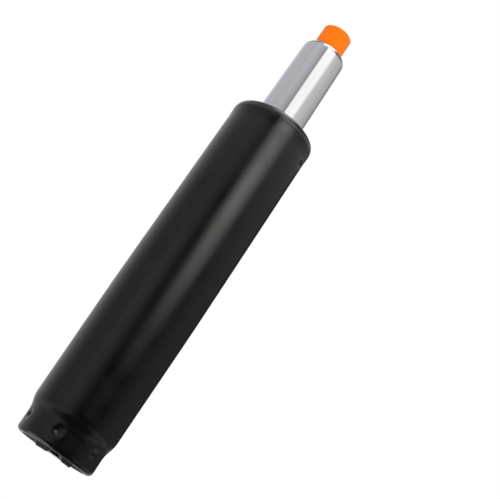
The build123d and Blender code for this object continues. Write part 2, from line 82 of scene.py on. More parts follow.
def linear(code):
    """An sRGB hex colour as linear red, green and blue: each channel under 0.04045 is divided by
    12.92, and any other is ((channel + 0.055) / 1.055) to the power 2.4."""
    channels = np.array([int(code[place:place + 2], 16) for place in (1, 3, 5)]) / 255
    bright = ((channels + 0.055) / 1.055) ** 2.4
    return tuple(float(c) for c in np.where(channels <= 0.04045, channels / 12.92, bright))


def length(name, description, size_mm):
    """A length property whose default is given in millimetres."""
    return FloatProperty(name=name, description=description, default=size_mm * MM, unit="LENGTH", precision=5)


def turn(name, description, degrees):
    """An angle property whose default is given in degrees."""
    return FloatProperty(name=name, description=description, default=math.radians(degrees),
                         unit="ROTATION")


def share(name, description, value):
    """A plain number that isn't less than nothing."""
    return FloatProperty(name=name, description=description, default=value, min=0.0)


def colour(name, description, code):
    """A colour property whose default is an sRGB hex value."""
    return FloatVectorProperty(name=name, description=description, default=linear(code), size=3,
                               min=0.0, max=1.0, subtype="COLOR")


class GasLiftSizes(bpy.types.PropertyGroup):
    column_wall: length("Column wall", "Thickness of the column's steel", 2.0)
    column_taper: length("Column taper", "Height of the column's seat taper", 68.5)
    taper_slope: share("Taper slope", "Radius lost per length on both seat tapers", 0.01254)
    neck_height: length("Neck height", "Height of the column's straight neck above the rim", 10.0)
    shoulder_height: length("Shoulder height", "Height of the curved shoulder above the neck", 11.5)
    neck_step: length("Neck step", "How far the neck stands in from the taper's small end", 2.0)
    rim_edge: length("Rim edge", "Outer edge radius of the rolled rim", 2.5)
    rim_lip: length("Rim lip", "How far the rim turns inwards from the neck's side", 3.75)
    mouth_edge: length("Mouth edge", "Edge radius of the column's cut mouth", 0.5)
    mouth_flare: length("Mouth flare", "How far the mouth is opened by the bush", 0.25)
    mouth_flare_height: length("Mouth flare height", "Height of the opened mouth", 5.0)
    dent_count: IntProperty(name="Dents", description="Dents round the neck", default=6, min=1)
    dent_turn: turn("Dent turn", "Direction of the first neck dent from +X", -100.0)
    dent_height: length("Dent height", "Height of the neck's dents above the rim", 8.8)
    dent_radius: length("Dent radius", "Radius of a neck dent's bowl", 3.75)
    dent_depth: length("Dent depth", "Depth of a neck dent's bowl", 0.8)
    dent_gather: share("Dent gather", "How much the mesh's steps gather at the neck's dents", 0.6)
    punch_radius: length("Punch radius", "Radius of the punch mark in a dent", 1.9)
    punch_depth: length("Punch depth", "Depth of the punch mark below the bowl", 1.0)
    lip_rise: length("Dent lip", "Height of the raised lip round a dent", 0.05)
    lip_place: share("Dent lip place", "Middle of the raised lip, as a share of the dent's radius", 1.1)
    lip_width: share("Dent lip width", "Width of the raised lip, as a share of the dent's radius", 0.15)
    mouth_dent_count: IntProperty(name="Mouth dents", description="Dents near the mouth, which hold the bush",
                                  default=2, min=1)
    mouth_dent_drop: length("Mouth dent drop", "How far the bush's dents lie below the mouth", 9.3)
    mouth_dent_turn: turn("Mouth dent turn", "Direction of the first of the bush's dents from +X", -23.0)
    mouth_dent_radius: length("Mouth dent radius", "Radius of the bush's dents", 2.4)
    mouth_dent_depth: length("Mouth dent depth", "Depth of the bush's dents", 0.6)
    # painted highlight: inside this radius the rim's lip is painted grey in place of the light along it
    lip_highlight_reach: length("Thin paint reach", "Radius inside which the rim's paint is thin", 18.5)
    fine_step: length("Fine step", "Spacing of the mesh's rows where the column has dents", 0.42)
    tube_wall: length("Tube wall", "Thickness of the gas cylinder's steel", 1.5)
    tube_taper: length("Tube taper", "Height of the gas cylinder's seat taper", 57.0)
    tube_shoulder: length("Tube shoulder", "Outer radius of the gas cylinder's drawn shoulder", 4.5)
    tube_roof: length("Tube roof", "Thickness of the shoulder's top", 2.0)
    tube_foot_edge: length("Tube foot edge", "Outer edge radius of the rolled foot", 1.8)
    tube_foot_opening: length("Foot opening", "Radius of the opening in the rolled foot", 9.0)
    valve_neck: length("Valve neck", "Radius of the valve's neck", 6.0)
    neck_clearance: length("Neck clearance", "Room round the valve's neck in the shoulder", 0.1)
    cap_wall: length("Cap wall", "Thickness of the transit cap's side", 1.55)
    cap_roof: length("Cap roof", "Thickness of the transit cap's roof", 2.0)
    cap_grip: length("Cap grip", "Height of the ring that grips the valve's neck", 2.6)
    grip_clearance: length("Grip clearance", "Room between the cap's ring and the valve's neck", 0.05)
    cap_edge: length("Cap edge", "Edge radius of the transit cap's roof", 0.4)
    gate_radius: length("Gate radius", "Radius of the moulding gate's pit in the cap's roof", 1.6)
    mark_share: share("Mark share", "Size of the lathe's mark, as a share of the button's radius", 0.125)
    clip_mouth: length("Clip mouth", "Width of the retaining clip's mouth", 5.2)
    clip_turn: turn("Clip turn", "How far the clip's mouth is turned from -Y", 7.0)
    clip_hole: length("Clip hole", "Radius of the clip's hole, in the spindle's groove", 3.05)
    clip_thickness: length("Clip thickness", "Thickness of the clip's sheet", 1.4)
    ear_near: turn("Ear near side", "Where the clip's ears begin, from its mouth", 14.5)
    ear_far: turn("Ear far side", "Where the clip's ears end, from its mouth", 75.0)
    ear_end: length("Ear end", "Length over which an ear's drop fades out", 2.5)
    grease_top: length("Grease top", "Height up to which the spindle is greased", 6.0)
    cut_edge: length("Cut edge", "Edge radius of sheared and turned edges", 0.2)
    segments: IntProperty(name="Segments", description="Steps round a turned piece", default=192, min=24)
    column_segments: IntProperty(name="Column segments", description="Steps round the column",
                                 default=380, min=60)


class GasLiftColours(bpy.types.PropertyGroup):
    paint: colour("Paint", "Black enamel of the column", "#050505")
    # painted highlight: the grey painted on the rim's lip in place of the light along it
    painted_lip_highlight: colour("Thin paint", "The rim's lip, where the enamel is thin", "#5a5a5c")
    bush: colour("Bush", "Black acetal of the guide bush", "#0f0f0f")
    bright_steel: colour("Bright steel", "Ground and plated gas cylinder", "#b2b2b3")
    cap: colour("Cap", "Orange polyethylene of the transit cap", "#ff7800")
    clip: colour("Clip", "Phosphated spring steel", "#525254")
    zinc: colour("Zinc", "Zinc plated washers and plates", "#8d9193")
    bearing: colour("Bearing steel", "Hardened and lapped races and balls", "#b9babd")
    rod: colour("Rod", "Hard chromed piston rod", "#c6c7ca")
    grease: colour("Grease", "Bearing grease on the spindle's end", "#3a3836")
    rubber: colour("Rubber", "Nitrile rubber of seals and buffer", "#191919")
    sintered: colour("Sintered iron", "Guide and piston", "#74716d")
    alloy: colour("Turned alloy", "Valve body", "#c4c5c6")
    nylon: colour("Nylon", "Natural nylon of the cage and rings", "#e3ded0")
    drawn: colour("Drawn steel", "Inner tube and pin", "#939497")


class GasLiftStudio(bpy.types.PropertyGroup):
    camera_distance: length("Camera distance", "From the camera to the lift's axis", 493.809)
    camera_drop: length("Camera drop", "How far the camera is below the lower rim", 24.581)
    camera_pitch: turn("Camera pitch", "How far the camera looks up", 19.0166)
    camera_yaw: turn("Camera yaw", "How far the camera looks to the right of the axis", 0.0148)
    camera_roll: turn("Camera roll", "How far the camera is rolled about its own axis", 34.2701)
    camera_lens: FloatProperty(name="Lens", description="Focal length on a 36 mm sensor", default=69.271,
                               unit="CAMERA")
    camera_shift: FloatVectorProperty(name="Lens shift", size=2, default=(0.0796, -0.0537),
                                      description="How far the picture's middle lies from the lens's axis")
    wall_distance: length("Card distance", "From the lift's axis to the studio's cards", 1000.0)
    floor_drop: length("Floor drop", "From the lower rim down to the floor", 250.0)
    floor_radius: length("Floor radius", "Radius of the round floor", 1400.0)
    floor: colour("Floor", "Pale floor", "#e4e4e2")
    ambient: share("Ambient", "Brightness of the white room on matt surfaces", 0.85)


# Meshes

def tangent_arc(before, here, after, radius, steps):
    """Points of the arc of this radius that touches both sides of a corner, with one support
    point outside each end. The arc's ends lie radius / tan(half the angle) from the corner, its
    centre lies radius / sin(half the angle) along the bisector, and the points between are a
    spherical blend of the two end directions."""
    support = 0.03 * MM
    back = (before - here) / np.linalg.norm(before - here)
    ahead = (after - here) / np.linalg.norm(after - here)
    half = math.acos(float(np.clip(back @ ahead, -1, 1))) / 2
    reach = radius / math.tan(half)
    middle = (back + ahead) / np.linalg.norm(back + ahead)
    centre = here + middle * radius / math.sin(half)
    start = here + back * reach - centre
    end = here + ahead * reach - centre
    opening = math.pi - 2 * half
    t = np.linspace(0, 1, steps + 1)[:, None]
    arc = centre + (np.sin((1 - t) * opening) * start + np.sin(t * opening) * end) / math.sin(opening)
    return np.vstack([here + back * (reach + support), arc, here + ahead * (reach + support)])


def outline(corners, closed=True, steps=8):
    """A section's outline, as an array of (radius, height). Each corner is (radius, height) or
    (radius, height, edge radius), and a corner with an edge radius becomes a tangent arc."""
    places = [np.array(corner[:2], float) for corner in corners]
    parts = []
    for place, corner in enumerate(corners):
        ends = not closed and place in (0, len(corners) - 1)
        if len(corner) < 3 or ends:
            parts.append(places[place][None])
        else:
            after = places[(place + 1) % len(corners)]
            parts.append(tangent_arc(places[place - 1], places[place], after, corner[2], steps))
    return np.vstack(parts)


def refined(points, zones, step):
    """The closed outline with more points where its height is in one of the zones, each of which
    is (low, high): the added points lie evenly along the outline, one step apart. Points closer
    than a tenth of a micrometre are joined."""
    loop = np.vstack([points, points[:1]])
    along = np.concatenate([[0], np.cumsum(np.linalg.norm(np.diff(loop, axis=0), axis=1))])
    even = np.arange(0, along[-1], step)
    height = np.interp(even, along, loop[:, 1])
    wanted = np.zeros(len(even), bool)
    for low, high in zones:
        wanted |= (height > low) & (height < high)
    places = np.unique(np.concatenate([along[:-1], even[wanted]]).round(7))
    return np.stack([np.interp(places, along, loop[:, 0]), np.interp(places, along, loop[:, 1])], axis=1)


def turned_points(section, angles, offset=None):
    """A section turned about Z: x = r cos a, y = r sin a, z = height, with an offset added to r."""
    r = np.repeat(section[:, :1], len(angles), axis=1)
    z = np.repeat(section[:, 1:], len(angles), axis=1)
    a = np.repeat(angles[None], len(section), axis=0)
    if offset is not None:
        r = r + offset(a, r, z)
    return np.stack([r * np.cos(a), r * np.sin(a), z], axis=2)


def grid_faces(rows, columns, rows_wrap, columns_wrap):
    """Quads between neighbours of a grid of vertices, numbered row by row."""
    i = np.arange(rows if rows_wrap else rows - 1)[:, None]
    j = np.arange(columns if columns_wrap else columns - 1)[None]
    lower, upper = i * columns, (i + 1) % rows * columns
    right = (j + 1) % columns
    return np.stack([lower + j, lower + right, upper + right, upper + j], axis=2).reshape(-1, 4)


def add_piece(name, points, faces, body, material):
    """A smooth shaded mesh object at the world origin that rides on a body."""
    mesh = bpy.data.meshes.new(name)
    mesh.from_pydata(np.asarray(points).reshape(-1, 3).tolist(), [], faces)
    mesh.polygons.foreach_set("use_smooth", np.ones(len(mesh.polygons), bool))
    mesh.materials.append(material)
    mesh.update()
    piece = bpy.data.objects.new(name, mesh)
    bpy.context.scene.collection.objects.link(piece)
    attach(piece, body)
    return piece


def add_ring(name, section, angles, body, material, offset=None):
    """A closed section turned about Z into a ring."""
    points = turned_points(section, angles, offset)
    faces = grid_faces(len(section), len(angles), True, True)
    return add_piece(name, points, faces.tolist(), body, material)


def add_solid(name, section, angles, body, material):
    """A section that starts and ends on the axis, turned about Z, with a fan of triangles at
    each pole."""
    around = turned_points(section[1:-1], angles)
    rows, columns = around.shape[:2]
    low = rows * columns
    points = np.vstack([around.reshape(-1, 3), [[0, 0, section[0, 1]], [0, 0, section[-1, 1]]]])
    j = np.arange(columns)
    after = (j + 1) % columns
    last = (rows - 1) * columns
    fans = np.vstack([np.stack([np.full(columns, low), after, j], axis=1),
                      np.stack([last + j, last + after, np.full(columns, low + 1)], axis=1)])
    faces = grid_faces(rows, columns, False, True).tolist() + fans.tolist()
    return add_piece(name, points, faces, body, material)


def even_angles(count):
    """Angles all the way round, evenly spaced."""
    return np.arange(count) * (2 * math.pi / count)


# Materials

def add_node(tree, kind, settings, links=None):
    """Adds a node. Settings go to its attributes or, failing that, to its inputs, and links feed
    its inputs from other nodes' outputs."""
    node = tree.nodes.new(kind)
    for key, value in settings.items():
        if isinstance(key, str) and hasattr(node, key):
            setattr(node, key, value)
        else:
            node.inputs[key].default_value = value
    for key, output in (links or {}).items():
        tree.links.new(output, node.inputs[key])
    return node


def per_metre(size_mm):
    """A texture's scale from the real size of its features."""
    return 1 / (size_mm * MM)


def start_material(name, base, roughness, **sockets):
    """The parts of a Principled material with these fixed values: the material, its node tree, its
    shader and its Object coordinates."""
    material = bpy.data.materials.new(name)
    material.use_nodes = True
    tree = material.node_tree
    shader = tree.nodes["Principled BSDF"]
    shader.inputs["Base Color"].default_value = (*base, 1)
    shader.inputs["Roughness"].default_value = roughness
    for key, value in sockets.items():
        shader.inputs[key.replace("_", " ")].default_value = value
    place = add_node(tree, "ShaderNodeTexCoord", {}).outputs["Object"]
    return SimpleNamespace(material=material, tree=tree, shader=shader, place=place)


def noise(parts, size_mm, detail=3.0, place=None):
    """A noise whose features have this size, on Object coordinates unless it gets another place."""
    return add_node(parts.tree, "ShaderNodeTexNoise", {"Scale": per_metre(size_mm), "Detail": detail},
                    {"Vector": parts.place if place is None else place}).outputs[0]


def ramp(tree, value, low, high):
    """Takes the middle of a noise, from 0.35 to 0.65, to a range from low to high."""
    settings = {"From Min": 0.35, "From Max": 0.65, "To Min": low, "To Max": high}
    return add_node(tree, "ShaderNodeMapRange", settings, {"Value": value}).outputs[0]


def dress(parts, gloss, tone, height, depth_mm):
    """Links patterns to a material's shader and gives the material. The gloss is (noise, low, high)
    for the roughness, the tone is (noise, low, high) for how light the base colour is, and the
    height and its depth make the bump."""
    tree, shader = parts.tree, parts.shader
    tree.links.new(ramp(tree, *gloss), shader.inputs["Roughness"])
    base = tuple(shader.inputs["Base Color"].default_value)
    level = ramp(tree, *tone)
    scaled = add_node(tree, "ShaderNodeVectorMath", {"operation": "SCALE", 0: base[:3]}, {"Scale": level})
    tree.links.new(scaled.outputs[0], shader.inputs["Base Color"])
    bump = add_node(tree, "ShaderNodeBump", {"Strength": 1.0, "Distance": depth_mm * MM}, {"Height": height})
    tree.links.new(bump.outputs[0], shader.inputs["Normal"])
    return parts.material


def from_axis(parts):
    """The distance from the lift's axis: the length of the place with its height left out."""
    flat = add_node(parts.tree, "ShaderNodeVectorMath", {"operation": "MULTIPLY", 1: (1.0, 1.0, 0.0)},
                    {0: parts.place})
    length_of = add_node(parts.tree, "ShaderNodeVectorMath", {"operation": "LENGTH"}, {0: flat.outputs[0]})
    return length_of.outputs["Value"]


def tint_below(parts, value, limit, base):
    """Gives a dressed material another base colour where a length is under a limit, with a soft
    edge half a millimetre wide."""
    soft = 0.5 * MM
    under = add_node(parts.tree, "ShaderNodeMapRange", {"From Min": limit + soft, "From Max": limit},
                     {"Value": value}).outputs[0]
    socket = parts.shader.inputs["Base Color"]
    before = socket.links[0].from_socket
    # inputs 6 and 7 and output 2 of a Mix node are its colours
    mixed = add_node(parts.tree, "ShaderNodeMix", {"data_type": "RGBA"}, {0: under, 6: before})
    mixed.inputs[7].default_value = (*base, 1)
    parts.tree.links.new(mixed.outputs[2], socket)


def satin_enamel(base, lip_highlight, lip_highlight_reach):
    """Baked black enamel on steel, sprayed: deep black, satin, with a shallow orange peel and
    cloudy changes of gloss where the spray lay thicker. Inside a given reach from the axis the rim's
    sheared lip is painted grey: a painted highlight for the light along the lip, not a colour of the enamel."""
    parts = start_material("satin_enamel", base, roughness=0.25, IOR=1.42)
    cloud = noise(parts, size_mm=18)
    peel = noise(parts, size_mm=1.6, detail=2.0)
    material = dress(parts, gloss=(cloud, 0.2, 0.27), tone=(cloud, 0.8, 1.2), height=peel, depth_mm=0.004)
    # painted highlight: the rim's lip inside the reach is painted grey in place of the light along it
    tint_below(parts, from_axis(parts), lip_highlight_reach, lip_highlight)
    return material


def moulded_acetal(base):
    """Acetal, injection moulded: black, a little greasy, with the fine eroded grain of its mould,
    drawn coarser than it is so that it shows."""
    parts = start_material("moulded_acetal", base, roughness=0.25, IOR=1.48)
    cloud = noise(parts, size_mm=6)
    grain = noise(parts, size_mm=0.7, detail=2.0)
    return dress(parts, gloss=(cloud, 0.16, 0.24), tone=(cloud, 0.8, 1.25), height=grain, depth_mm=0.003)


def ground_chrome(base):
    """Steel tube, centreless ground and flash chromed: grey, sharp reflections with the fine rings
    of the grinding wheel, streaks along the tube and a light speckle of grit marks."""
    parts = start_material("ground_chrome", base, roughness=0.15, Metallic=1.0)
    speckle = noise(parts, size_mm=0.7, detail=4.0)
    # rings: noise stretched round the tube, a third of a millimetre high, which is coarser than the
    # wheel's marks are, so that they show
    flat = add_node(parts.tree, "ShaderNodeMapping", {"Scale": (0.03, 0.03, 1.0)}, {"Vector": parts.place})
    rings = noise(parts, size_mm=0.35, detail=2.0, place=flat.outputs[0])
    # streaks: noise stretched along the tube and two millimetres wide
    tall = add_node(parts.tree, "ShaderNodeMapping", {"Scale": (1.0, 1.0, 0.04)}, {"Vector": parts.place})
    streaks = noise(parts, size_mm=2.2, detail=2.0, place=tall.outputs[0])
    both = add_node(parts.tree, "ShaderNodeMath", {"operation": "ADD"}, {0: rings, 1: speckle})
    return dress(parts, gloss=(speckle, 0.1, 0.16), tone=(streaks, 0.95, 1.04), height=both.outputs[0],
                 depth_mm=0.0009)


def waxy_polyethylene(base):
    """Low density polyethylene, injection moulded: strong orange, waxy, a little translucent."""
    parts = start_material("waxy_polyethylene", base, roughness=0.4, IOR=1.51, Specular_IOR_Level=0.06,
                           Subsurface_Weight=0.1, Subsurface_Radius=(1.0, 0.4, 0.1),
                           Subsurface_Scale=0.8 * MM)
    cloud = noise(parts, size_mm=5)
    grain = noise(parts, size_mm=0.9, detail=2.0)
    return dress(parts, gloss=(cloud, 0.35, 0.48), tone=(cloud, 0.93, 1.0), height=grain, depth_mm=0.006)


def grainy_metal(name, base, roughness, grain_mm, depth_mm, metallic=1.0):
    """A metal whose grains set its roughness, which is (low, high), and its relief. Its colour
    drifts a little in clouds ten grains across. Fine grains are drawn coarser, so that they show."""
    parts = start_material(name, base, roughness=roughness[0], Metallic=metallic)
    grain = noise(parts, grain_mm)
    cloud = noise(parts, 10 * grain_mm)
    return dress(parts, gloss=(grain, *roughness), tone=(cloud, 0.9, 1.06), height=grain, depth_mm=depth_mm)


def hard_chrome(base, grease, grease_top):
    """Hard chromed and polished rod: bright and sharp, with faint draw marks. The spindle's end
    below the bearing is darkened by grease."""
    parts = start_material("hard_chromed_rod", base, roughness=0.1, Metallic=1.0)
    grain = noise(parts, size_mm=0.3)
    cloud = noise(parts, size_mm=3)
    material = dress(parts, gloss=(grain, 0.06, 0.12), tone=(cloud, 0.9, 1.06), height=grain, depth_mm=0.0004)
    height = add_node(parts.tree, "ShaderNodeSeparateXYZ", {}, {0: parts.place}).outputs["Z"]
    tint_below(parts, height, grease_top, grease)
    return material


def turned_metal(name, base, roughness, feed_mm, depth_mm):
    """A metal turned on a lathe, its roughness (low, high): the tool's feed leaves rings, one feed
    apart along the axis and outwards across the faces, drawn as a sine of the height plus the
    distance from the axis."""
    parts = start_material(name, base, roughness=roughness[0], Metallic=1.0)
    up = add_node(parts.tree, "ShaderNodeSeparateXYZ", {}, {0: parts.place})
    both = add_node(parts.tree, "ShaderNodeMath", {"operation": "ADD"},
                    {0: from_axis(parts), 1: up.outputs["Z"]})
    radians_per_metre = 2 * math.pi * per_metre(feed_mm)
    turns = add_node(parts.tree, "ShaderNodeMath", {"operation": "MULTIPLY", 1: radians_per_metre},
                     {0: both.outputs[0]})
    wave = add_node(parts.tree, "ShaderNodeMath", {"operation": "SINE"}, {0: turns.outputs[0]})
    cloud = noise(parts, size_mm=3)
    return dress(parts, gloss=(cloud, *roughness), tone=(cloud, 0.92, 1.05), height=wave.outputs[0],
                 depth_mm=depth_mm)


def nitrile_rubber(base):
    """Nitrile rubber, compression moulded: nearly black and dull, with a bloom of fine dust."""
    parts = start_material("nitrile_rubber", base, roughness=0.6, IOR=1.5)
    bloom = noise(parts, size_mm=2, detail=5.0)
    skin = noise(parts, size_mm=0.4)
    return dress(parts, gloss=(bloom, 0.5, 0.72), tone=(bloom, 0.8, 1.5), height=skin, depth_mm=0.01)


def natural_nylon(base):
    """Nylon, injection moulded in its natural colour: cream, faintly see-through, satin."""
    parts = start_material("natural_nylon", base, roughness=0.42, IOR=1.53, Subsurface_Weight=0.2,
                           Subsurface_Radius=(1.0, 0.8, 0.5), Subsurface_Scale=1.0 * MM)
    cloud = noise(parts, size_mm=4)
    grain = noise(parts, size_mm=0.8)
    return dress(parts, gloss=(cloud, 0.36, 0.5), tone=(cloud, 0.93, 1.02), height=grain, depth_mm=0.006)


def finish(node, material):
    """Gives a CAD node its material, in place of the plain one that it came with."""
    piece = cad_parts[node]
    for slot in piece.material_slots:
        slot.material = material


# Operators

class GASLIFT_OT_column(bpy.types.Operator):
    """Add the enamelled column, with its taper, neck, rolled rim and soft dents"""
    bl_idname = "gaslift.column"
    bl_label = "Column"

    # Where the mesh's rows are finer, in mm: upwards from the foot, and downwards from the mouth.
    neck_rows_mm = (1.5, 22.0)
    mouth_rows_mm = (12.5, 6.0)
    # The points along the shoulder's two arcs.
    shoulder_rows = 25

    def execute(self, context):
        sizes, colours = context.scene.gas_lift_sizes, context.scene.gas_lift_colours
        foot, top = foot_of("column_tube"), top_of("column_tube")
        radius = radius_of("column_tube") - sizes.mouth_flare
        neck_rows = [foot + height * MM for height in self.neck_rows_mm]
        mouth_rows = [top - drop * MM for drop in self.mouth_rows_mm]
        section = refined(self.section(sizes, radius, foot, top), [neck_rows, mouth_rows], sizes.fine_step)
        # the steps are closer together at the neck's dents: a = u - gather / n sin(n (u - first))
        count = sizes.dent_count
        even = even_angles(sizes.column_segments)
        angles = even - sizes.dent_gather / count * np.sin(count * (even - sizes.dent_turn))
        paint = satin_enamel(colours.paint, colours.painted_lip_highlight, sizes.lip_highlight_reach)

        def offset(a, r, z):
            """How far the dents move the wall: less than nothing is inwards, by the bowl of each dent
            on both sides of the wall, and a raised lip, exp(-x squared), lies round each neck dent.
            The punch mark in its middle is a sharp pit, (1 - x) squared, on the outside alone."""
            moved = np.zeros_like(a)
            side = radius - sizes.taper_slope * sizes.column_taper - sizes.neck_step
            for direction in sizes.dent_turn + even_angles(count):
                away = self.distance(a, z, direction, foot + sizes.dent_height, side)
                moved -= sizes.dent_depth * self.bowl(away / sizes.dent_radius)
                punch = sizes.punch_depth * np.maximum(1 - away / sizes.punch_radius, 0) ** 2
                moved -= np.where(r > side - sizes.column_wall / 2, punch, 0)
                beyond = (away / sizes.dent_radius - sizes.lip_place) / sizes.lip_width
                moved += sizes.lip_rise * np.exp(-beyond**2)
            for direction in sizes.mouth_dent_turn + even_angles(sizes.mouth_dent_count):
                away = self.distance(a, z, direction, top - sizes.mouth_dent_drop, radius)
                moved -= sizes.mouth_dent_depth * self.bowl(away / sizes.mouth_dent_radius)
            # the rim's lip lies flat, so it keeps its place
            return np.where(z > foot + sizes.column_wall / 2, moved, 0)

        column = add_ring("column_enamelled", section, angles, "column", paint, offset)
        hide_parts("column_tube")
        return {"FINISHED"}

    @classmethod
    def section(cls, sizes, radius, foot, top):
        """The wall's section: rim lip, neck, a shoulder of two equal arcs, taper and barrel, then
        the same again one wall further in. Each arc's sagitta is half the neck's step."""
        small = radius - sizes.taper_slope * sizes.column_taper
        neck = small - sizes.neck_step
        low = foot + sizes.neck_height
        high = low + sizes.shoulder_height
        half, rise = sizes.shoulder_height / 2, sizes.neck_step / 2
        bend = (half**2 + rise**2) / (2 * rise)
        z = np.linspace(low, high, cls.shoulder_rows)
        lower = neck + bend - np.sqrt(bend**2 - np.minimum(z - low, half) ** 2)
        upper = small - bend + np.sqrt(bend**2 - np.minimum(high - z, half) ** 2)
        shoulder = np.stack([np.where(z < low + half, lower, upper), z], axis=1)
        wall, edge = sizes.column_wall, sizes.cut_edge
        lip = neck - sizes.rim_lip
        rim = outline([(neck - wall, low), (neck - wall, foot + wall, edge), (lip, foot + wall, edge),
                       (lip, foot, edge), (neck, foot, sizes.rim_edge), (neck, low)], closed=False)
        barrel = np.array([[radius, high + sizes.column_taper]])
        mouth = radius + sizes.mouth_flare
        flare = top - sizes.mouth_flare_height
        mouth = outline([(radius, flare), (mouth, top, sizes.mouth_edge), (mouth - wall, top, edge),
                         (radius - wall, flare)], closed=False)
        inwards = np.array([wall, 0])
        return np.vstack([rim[1:], shoulder[1:], barrel, mouth, barrel - inwards,
                          shoulder[:0:-1] - inwards, rim[:1]])

    @staticmethod
    def distance(a, z, direction, height, radius):
        """The distance on the surface from a dent's middle: the arc round the side and the height
        are the two sides of a right angle."""
        around = (a - direction + math.pi) % (2 * math.pi) - math.pi
        return np.hypot(around * radius, z - height)

    @staticmethod
    def bowl(x):
        """A soft bowl that is 1 deep in the middle and level at its edge: (1 - x squared) squared."""
        return np.where(x < 1, (1 - x**2) ** 2, 0)


class GASLIFT_OT_gas_cylinder(bpy.types.Operator):
    """Add the bright gas cylinder, with its seat taper and drawn shoulder"""
    bl_idname = "gaslift.gas_cylinder"
    bl_label = "Gas cylinder"

    def execute(self, context):
        sizes = context.scene.gas_lift_sizes
        radius, foot, top = radius_of("pressure_tube"), foot_of("pressure_tube"), top_of("pressure_tube")
        taper = top - sizes.tube_shoulder - sizes.tube_taper
        small = radius - sizes.taper_slope * (top - taper)
        hole = sizes.valve_neck + sizes.neck_clearance
        roof = top - sizes.tube_roof
        bore = radius - sizes.tube_wall
        edge = sizes.cut_edge
        section = outline([
            (sizes.tube_foot_opening, foot, edge), (radius, foot, sizes.tube_foot_edge), (radius, taper),
            (small, top, sizes.tube_shoulder), (hole, top, edge), (hole, roof, edge),
            (bore - sizes.taper_slope * (roof - taper), roof, sizes.tube_shoulder - sizes.tube_roof),
            (bore, taper), (bore, foot + sizes.tube_wall, edge),
            (sizes.tube_foot_opening, foot + sizes.tube_wall, edge)], steps=12)
        chrome = ground_chrome(context.scene.gas_lift_colours.bright_steel)
        angles = even_angles(sizes.segments)
        tube = add_ring("gas_cylinder", section, angles, "gas_spring", chrome)
        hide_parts("pressure_tube")
        return {"FINISHED"}


class GASLIFT_OT_transit_cap(bpy.types.Operator):
    """Add the orange transit cap, with its grip ring and the mark of its moulding gate"""
    bl_idname = "gaslift.transit_cap"
    bl_label = "Transit cap"

    def execute(self, context):
        sizes = context.scene.gas_lift_sizes
        radius, foot, top = radius_of("transit_cap"), foot_of("transit_cap"), top_of("transit_cap")
        inner = radius - sizes.cap_wall
        ceiling = top - sizes.cap_roof
        grip = sizes.valve_neck + sizes.grip_clearance
        gate = sizes.gate_radius
        edge = sizes.cut_edge
        section = outline([
            (0, ceiling), (inner, ceiling, 2 * edge), (inner, foot + sizes.cap_grip, edge),
            (grip, foot + sizes.cap_grip, edge), (grip, foot, edge), (radius, foot, edge),
            (radius, top, sizes.cap_edge), (gate, top, edge / 2), (gate, top - edge, edge / 4),
            (gate / 3, top - edge, edge / 4), (gate / 3, top - edge / 2, edge / 4), (0, top - edge / 2)],
            closed=False)
        plastic = waxy_polyethylene(context.scene.gas_lift_colours.cap)
        angles = even_angles(sizes.segments)
        cap = add_solid("transit_cap_moulding", section, angles, "cap", plastic)
        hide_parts("transit_cap")
        return {"FINISHED"}


class GASLIFT_OT_release_button(bpy.types.Operator):
    """Add the turned release button, with the small centre mark of the lathe"""
    bl_idname = "gaslift.release_button"
    bl_label = "Release button"

    def execute(self, context):
        sizes = context.scene.gas_lift_sizes
        radius, foot, top = radius_of("release_button"), foot_of("release_button"), top_of("release_button")
        mark = sizes.mark_share * radius
        section = outline([(0, foot), (radius, foot, sizes.cut_edge), (radius, top, sizes.cap_edge),
                           (mark, top, mark / 4), (0, top - mark)], closed=False)
        steel = turned_metal("turned_steel", context.scene.gas_lift_colours.drawn, roughness=(0.18, 0.28),
                             feed_mm=0.2, depth_mm=0.001)
        angles = even_angles(sizes.segments // 2)
        button = add_solid("release_button_turning", section, angles, "release_valve", steel)
        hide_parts("release_button")
        return {"FINISHED"}


